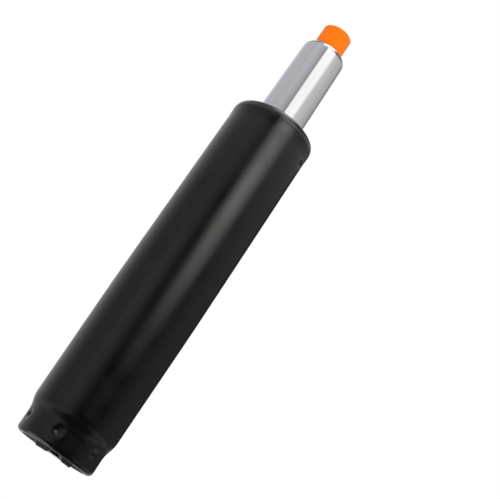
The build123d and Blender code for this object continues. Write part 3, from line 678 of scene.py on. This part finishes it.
class GASLIFT_OT_retaining_clip(bpy.types.Operator):
    """Add the horseshoe clip, stamped from spring steel with its ears turned down"""
    bl_idname = "gaslift.retaining_clip"
    bl_label = "Retaining clip"

    # Steps of the mesh from one side of the mouth round to the other.
    run_steps = 240

    def execute(self, context):
        sizes = context.scene.gas_lift_sizes
        radius, foot, top = radius_of("retaining_clip"), foot_of("retaining_clip"), top_of("retaining_clip")
        sheet, edge, hole = sizes.clip_thickness, sizes.cut_edge, sizes.clip_hole
        drop = top - sheet - foot
        rim = radius - sheet
        section = outline([(hole, -sheet, edge), (rim, -sheet), (rim, -sheet - drop, edge),
                           (radius, -sheet - drop, edge), (radius, 0, 2 * edge), (hole, 0, edge)], steps=4)
        # each point of the section runs from one side of the mouth round to the other: its angle at
        # the mouth is arcsin(half the mouth / its radius), so that the mouth's sides are straight
        across = section[:, 0][:, None]
        mouth = np.arcsin(sizes.clip_mouth / 2 / across)
        run = np.linspace(0, 1, self.run_steps + 1)[None]
        angle = mouth + run * (2 * math.pi - 2 * mouth)
        # the ears' drop fades in and out at their ends, as 3 x squared - 2 x cubed
        from_mouth = np.minimum(angle, 2 * math.pi - angle)
        soft = sizes.ear_end / radius
        near = np.clip((from_mouth - sizes.ear_near) / soft, 0, 1)
        far = np.clip((sizes.ear_far - from_mouth) / soft, 0, 1)
        fade = near * far
        fade = fade * fade * (3 - 2 * fade)
        depth = section[:, 1][:, None]
        height = np.where(depth < -sheet - edge, -sheet - (-sheet - depth) * fade, depth) + top
        turned = angle - math.pi / 2 + sizes.clip_turn
        points = np.stack([across * np.cos(turned), across * np.sin(turned), height], axis=2)
        rows, columns = points.shape[:2]
        faces = grid_faces(rows, columns, True, False).tolist()
        # the mouth's two sides are closed by one face each
        faces.append([i * columns for i in range(rows)])
        faces.append([i * columns + columns - 1 for i in range(rows)][::-1])
        steel = grainy_metal("phosphated_spring_steel", context.scene.gas_lift_colours.clip,
                             roughness=(0.35, 0.5), grain_mm=0.5, depth_mm=0.01, metallic=0.85)
        clip = add_piece("retaining_clip_stamping", points, faces, "rod", steel)
        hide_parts("retaining_clip")
        return {"FINISHED"}


class GASLIFT_OT_inner_parts(bpy.types.Operator):
    """Finish the pieces that keep their modelled shape: the guide bush, the base plate, the
    bearing, the rod, the piston, the seals and the valve"""
    bl_idname = "gaslift.inner_parts"
    bl_label = "Bush, bearing, rod and valve"

    def execute(self, context):
        sizes, colours = context.scene.gas_lift_sizes, context.scene.gas_lift_colours
        bush = moulded_acetal(colours.bush)
        plate = turned_metal("zinc_plated_turning", colours.zinc, roughness=(0.26, 0.36), feed_mm=0.35,
                             depth_mm=0.002)
        zinc = grainy_metal("zinc_plated_sheet", colours.zinc, roughness=(0.24, 0.4), grain_mm=0.8,
                            depth_mm=0.006)
        lapped = grainy_metal("lapped_bearing_steel", colours.bearing, roughness=(0.08, 0.16), grain_mm=0.3,
                              depth_mm=0.0005)
        rod = hard_chrome(colours.rod, colours.grease, sizes.grease_top)
        rubber = nitrile_rubber(colours.rubber)
        iron = grainy_metal("sintered_iron", colours.sintered, roughness=(0.42, 0.6), grain_mm=0.25,
                            depth_mm=0.02)
        alloy = turned_metal("turned_alloy", colours.alloy, roughness=(0.2, 0.3), feed_mm=0.2, depth_mm=0.001)
        nylon = natural_nylon(colours.nylon)
        drawn = grainy_metal("drawn_steel", colours.drawn, roughness=(0.24, 0.36), grain_mm=0.5,
                             depth_mm=0.003)
        finishes = {
            bush: ["guide_bush"],
            plate: ["base_plate"],
            zinc: ["clip_washer", "buffer_washer", "seal_washer", "piston_nut"],
            lapped: ["lower_race", "upper_race", "bearing_balls"],
            rod: ["piston_rod"],
            rubber: ["rubber_buffer", "rod_seal", "guide_o_ring", "piston_seal", "valve_body_o_rings",
                     "pin_seals"],
            iron: ["rod_guide", "piston"],
            alloy: ["valve_body"],
            nylon: ["ball_cage", "piston_guide_ring", "pin_spacer", "valve_retainer"],
            drawn: ["inner_tube", "release_pin"],
        }
        for material, nodes in finishes.items():
            for node in nodes:
                finish(node, material)
        return {"FINISHED"}


class GASLIFT_OT_studio(bpy.types.Operator):
    """Add the camera, the white room, its pale floor and its grey and bright cards"""
    bl_idname = "gaslift.studio"
    bl_label = "Studio"

    # Steps of the mesh along a card, round a disc and round the floor.
    card_steps = 24
    disc_steps = 48
    floor_steps = 96
    # A card that glows more than this anywhere also lights matt surfaces.
    lamp_glow = 2.5
    # The width of the camera's sensor.
    sensor_mm = 36
    # The heights, in metres, at which the lower cards begin, the upper ones stand on them and the
    # upper ones end.
    low, meet, head = -0.24, 0.66, 1.6
    # The bright key and its dark foot have the same sides and share this row.
    key_sides = (-4, 6, 16, 28, 40, 49)
    key_row = (0.272, 0.03, 0.11, 0.48, 0.48, 0.24, 0.11)

    # Each card is (name, tint, sides, rows). The sides are directions from the lift in degrees,
    # from -Y towards +X. Each row is (height in metres, then the glow at each side), and the glow
    # runs evenly between rows and sides.
    cards = (
        ("left_back_card", "#ffffff", (-176, -126), (
            (low, 0.75, 0.6), (-0.02, 0.75, 0.6), (0.02, 0.6, 0.88), (meet, 0.6, 0.85))),
        ("left_card", "#ffffff", (-126, -84), ((low, 0.85, 0.4), (meet, 0.8, 0.47))),
        ("left_front_card", "#ffffff", (-84, -49), (
            (low, 0.4, 0.5), (0.3, 0.45, 0.62), (meet, 0.46, 0.45))),
        ("bounce_card", "#ffffff", (-49, -21), (
            (low, 0.65, 0.5), (0.11, 0.68, 0.52), (0.3, 0.9, 0.64), (0.45, 0.8, 0.55), (meet, 0.46, 0.16))),
        ("gap_card", "#ffffff", (-21, -4), (
            (low, 0.4, 0.02), (0.3, 0.48, 0.02), (0.5, 0.27, 0.0), (meet, 0.06, 0.0))),
        ("key_foot", "#fffaf6", key_sides, (
            (low, 0.03, 0.03, 0.03, 0.03, 0.03, 0.03), (0.11, 0.03, 0.03, 0.03, 0.03, 0.03, 0.03),
            (0.18, 0.03, 0.04, 0.09, 0.07, 0.04, 0.03), (0.227, 0.03, 0.05, 0.13, 0.14, 0.09, 0.08),
            key_row)),
        ("key_scrim", "#fffaf6", key_sides, (
            key_row, (0.316, 0.03, 0.24, 1.15, 1.65, 1.1, 0.45),
            (0.36, 0.04, 0.5, 1.9, 2.2, 1.55, 0.75), (0.405, 0.06, 0.75, 2.75, 3.0, 2.2, 1.1),
            (0.495, 0.1, 1.35, 4.2, 3.8, 2.5, 1.3), (0.61, 0.9, 3.9, 7.4, 5.9, 2.9, 1.1),
            (meet, 1.2, 4.5, 8.2, 6.4, 3.2, 1.2))),
        ("right_card", "#ffffff", (49, 84), (
            (low, 0.12, 0.32), (0.27, 0.18, 0.38), (meet, 0.6, 0.56))),
        ("right_back_card", "#ffffff", (84, 140), (
            (low, 0.32, 0.12), (0.27, 0.38, 0.08), (meet, 0.56, 0.15))),
        ("back_flag", "#ffffff", (140, 165, 184), (
            (low, 0.14, 0.7, 0.75), (-0.02, 0.14, 0.7, 0.75), (0.0, 0.08, 0.0, 0.0), (meet, 0.1, 0.0, 0.0))),
        ("high_left_back_card", "#f8f8ff", (-190, -128), (
            (meet, 1.5, 0.9), (1.0, 1.5, 0.9), (head, 1.5, 0.9))),
        ("high_left_card", "#f8f8ff", (-128, -34), (
            (meet, 0.95, 1.0), (1.0, 0.95, 1.0), (1.15, 0.6, 1.0), (1.3, 0.5, 1.6), (head, 0.4, 2.2))),
        ("high_gap_card", "#f8f8ff", (-34, -18, -6), (
            (meet, 0.95, 0.8, 0.35), (1.0, 1.0, 0.85, 0.5), (1.13, 1.0, 0.85, 0.6), (1.3, 1.9, 2.2, 1.8),
            (head, 2.6, 2.8, 2.0))),
        ("high_key_scrim", "#ffffff", (-6, -0.5, 46), (
            (meet, 0.45, 1.65, 1.75), (0.78, 0.45, 2.05, 2.05), (1.0, 0.5, 2.2, 2.2), (1.13, 0.9, 2.8, 2.0),
            (head, 2.5, 5.0, 1.4))),
        ("high_right_card", "#ffffff", (46, 58, 126), (
            (meet, 1.25, 1.17, 0.66), (0.8, 1.25, 1.17, 0.7), (0.88, 1.9, 1.2, 0.76), (1.0, 1.6, 0.8, 0.7),
            (1.13, 0.5, 0.35, 0.4), (head, 0.25, 0.2, 0.25))),
        ("high_back_card", "#ffffff", (126, 170), (
            (meet, 0.6, 0.1), (0.95, 0.64, 0.15), (1.15, 0.35, 0.7), (head, 0.25, 0.7))),
    )
    # Each disc is (name, tint, centre, radius, glow), in metres.
    discs = (
        ("top_card", "#ffffff", (0.0, 0.0, 1.62), 1.1, 0.38),
        ("top_front_softbox", "#ffffff", (0.12, -0.2, 1.6), 0.34, 4.0),
        ("top_left_front_softbox", "#ffffff", (-0.27, -0.39, 1.605), 0.22, 4.0),
        ("top_softbox", "#ffffff", (0.16, 0.36, 1.61), 0.24, 2.6),
        ("top_left_card", "#ffffff", (-0.3, 0.1, 1.612), 0.32, 1.0),
        ("top_back_card", "#ffffff", (0.0, 0.82, 1.615), 0.37, 1.0),
        ("low_left_card", "#ffffff", (-0.17, 0.02, -0.23), 0.15, 2.2),
        ("low_left_flag", "#ffffff", (-0.38, 0.44, -0.235), 0.31, 0.45),
        ("low_left_front_flag", "#ffffff", (-0.36, -0.26, -0.235), 0.17, 0.25),
        ("low_front_flag", "#ffffff", (0.1, -0.5, -0.2375), 0.46, 0.05),
        ("low_middle_flag", "#ffffff", (0.1, 0.08, -0.2325), 0.14, 0.1),
        ("low_right_flag", "#ffffff", (0.4, 0.1, -0.234), 0.3, 0.3),
        ("low_back_flag", "#ffffff", (0.3, 0.4, -0.236), 0.36, 0.2),
    )

    def execute(self, context):
        studio = context.scene.gas_lift_studio
        self.add_camera(context, studio)
        self.add_room(context, studio)
        self.add_floor(context, studio)
        for card in self.cards:
            self.add_card(context, studio, *card)
        for disc in self.discs:
            self.add_disc(context, *disc)
        context.scene.view_settings.view_transform = "Standard"
        return {"FINISHED"}

    def add_camera(self, context, studio):
        """A camera in front of the lift that looks up and a little to the right, and is rolled."""
        pitch, yaw, roll = studio.camera_pitch, studio.camera_yaw, studio.camera_roll
        forward = Vector((math.sin(yaw) * math.cos(pitch), math.cos(yaw) * math.cos(pitch), math.sin(pitch)))
        level = Vector((math.cos(yaw), -math.sin(yaw), 0))
        above = level.cross(forward)
        right = math.cos(roll) * level + math.sin(roll) * above
        up = math.cos(roll) * above - math.sin(roll) * level
        data = bpy.data.cameras.new("camera")
        data.lens = studio.camera_lens
        data.sensor_width = self.sensor_mm
        data.shift_x, data.shift_y = studio.camera_shift
        camera = bpy.data.objects.new("camera", data)
        axes = Matrix((right, up, -forward)).transposed().to_4x4()
        camera.matrix_world = Matrix.Translation((0, -studio.camera_distance, -studio.camera_drop)) @ axes
        context.scene.collection.objects.link(camera)
        context.scene.camera = camera

    def add_room(self, context, studio):
        """A room that is white to the camera and in metal and glass, and dimmer on matt surfaces."""
        world = bpy.data.worlds.new("room")
        world.use_nodes = True
        tree = world.node_tree
        tree.nodes.clear()
        path = add_node(tree, "ShaderNodeLightPath", {})
        seen = add_node(tree, "ShaderNodeMath", {"operation": "MAXIMUM"},
                        {0: path.outputs["Is Camera Ray"], 1: path.outputs["Is Glossy Ray"]})
        shown = add_node(tree, "ShaderNodeMath", {"operation": "MAXIMUM"},
                         {0: seen.outputs[0], 1: path.outputs["Is Transmission Ray"]})
        dim = add_node(tree, "ShaderNodeBackground", {"Color": (1, 1, 1, 1), "Strength": studio.ambient})
        white = add_node(tree, "ShaderNodeBackground", {"Color": (1, 1, 1, 1), "Strength": 1.0})
        mixed = add_node(tree, "ShaderNodeMixShader", {},
                         {0: shown.outputs[0], 1: dim.outputs[0], 2: white.outputs[0]})
        add_node(tree, "ShaderNodeOutputWorld", {}, {0: mixed.outputs[0]})
        context.scene.world = world

    def add_floor(self, context, studio):
        """A round pale floor well below the lift, because the camera is lower than the rim."""
        angles = even_angles(self.floor_steps)
        ring = studio.floor_radius * np.stack([np.cos(angles), np.sin(angles)], axis=1)
        points = np.column_stack([ring, np.full(len(angles), -studio.floor_drop)])
        mesh = bpy.data.meshes.new("floor")
        mesh.from_pydata(points.tolist(), [], [list(range(len(points)))])
        mesh.materials.append(start_material("matt_paper", studio.floor, roughness=0.9).material)
        floor = bpy.data.objects.new("floor", mesh)
        context.scene.collection.objects.link(floor)

    def add_card(self, context, studio, name, tint, sides, rows):
        """A curved card round the lift, whose glow runs evenly between the rows and sides given."""
        turns = np.union1d(np.linspace(sides[0], sides[-1], self.card_steps), sides)
        angles = np.radians(turns)
        across = studio.wall_distance * np.stack([np.sin(angles), -np.cos(angles)], axis=1)
        points = np.vstack([np.column_stack([across, np.full(len(angles), row[0])]) for row in rows])
        glow = np.concatenate([np.interp(turns, sides, row[1:]) for row in rows])
        self.add_glowing(context, name, tint, points, grid_faces(len(rows), len(angles), False, False), glow)

    def add_glowing(self, context, name, tint, points, faces, glow):
        """A stage object that glows as much as its vertices say. It shows in reflections, the camera
        doesn't see it, it casts no shadow, and only a bright one lights matt surfaces."""
        mesh = bpy.data.meshes.new(name)
        mesh.from_pydata(points.tolist(), [], faces.tolist())
        mesh.attributes.new("glow", "FLOAT", "POINT").data.foreach_set("value", glow)
        material = bpy.data.materials.new(name)
        material.use_nodes = True
        tree = material.node_tree
        tree.nodes.clear()
        level = add_node(tree, "ShaderNodeAttribute", {"attribute_name": "glow"})
        shine = add_node(tree, "ShaderNodeEmission", {"Color": (*linear(tint), 1)},
                         {"Strength": level.outputs["Fac"]})
        add_node(tree, "ShaderNodeOutputMaterial", {}, {0: shine.outputs[0]})
        mesh.materials.append(material)
        card = bpy.data.objects.new(name, mesh)
        card.visible_camera = False
        card.visible_diffuse = bool(max(glow) > self.lamp_glow)
        card.visible_shadow = False
        context.scene.collection.objects.link(card)

    def add_disc(self, context, name, tint, centre, radius, glow):
        """A level round card, even all over."""
        angles = even_angles(self.disc_steps)
        points = np.column_stack([centre[0] + radius * np.cos(angles), centre[1] + radius * np.sin(angles),
                                  np.full(len(angles), centre[2])])
        faces = np.arange(len(angles))[None]
        self.add_glowing(context, name, tint, points, faces, np.full(len(angles), glow))


class GASLIFT_PT_panel(bpy.types.Panel):
    """The gas lift's pieces, colours and studio"""
    bl_idname = "GASLIFT_PT_panel"
    bl_label = "Chair gas lift"
    bl_space_type = "VIEW_3D"
    bl_region_type = "UI"
    bl_category = "Gas lift"

    def draw(self, context):
        for operator in operators:
            self.layout.operator(operator.bl_idname)
        scene = context.scene
        for group in (scene.gas_lift_sizes, scene.gas_lift_colours, scene.gas_lift_studio):
            box = self.layout.box()
            for name in group.__annotations__:
                box.prop(group, name)


operators = (GASLIFT_OT_column, GASLIFT_OT_gas_cylinder, GASLIFT_OT_transit_cap, GASLIFT_OT_release_button,
             GASLIFT_OT_retaining_clip, GASLIFT_OT_inner_parts, GASLIFT_OT_studio)
classes = (GasLiftSizes, GasLiftColours, GasLiftStudio) + operators + (GASLIFT_PT_panel,)


def register():
    for one in classes:
        bpy.utils.register_class(one)
    bpy.types.Scene.gas_lift_sizes = PointerProperty(type=GasLiftSizes)
    bpy.types.Scene.gas_lift_colours = PointerProperty(type=GasLiftColours)
    bpy.types.Scene.gas_lift_studio = PointerProperty(type=GasLiftStudio)


def unregister():
    del bpy.types.Scene.gas_lift_studio
    del bpy.types.Scene.gas_lift_colours
    del bpy.types.Scene.gas_lift_sizes
    for one in reversed(classes):
        bpy.utils.unregister_class(one)


def main():
    register()
    bpy.ops.gaslift.studio()
    bpy.ops.gaslift.column()
    bpy.ops.gaslift.gas_cylinder()
    bpy.ops.gaslift.transit_cap()
    bpy.ops.gaslift.release_button()
    bpy.ops.gaslift.retaining_clip()
    bpy.ops.gaslift.inner_parts()


if __name__ == "__main__":
    main()
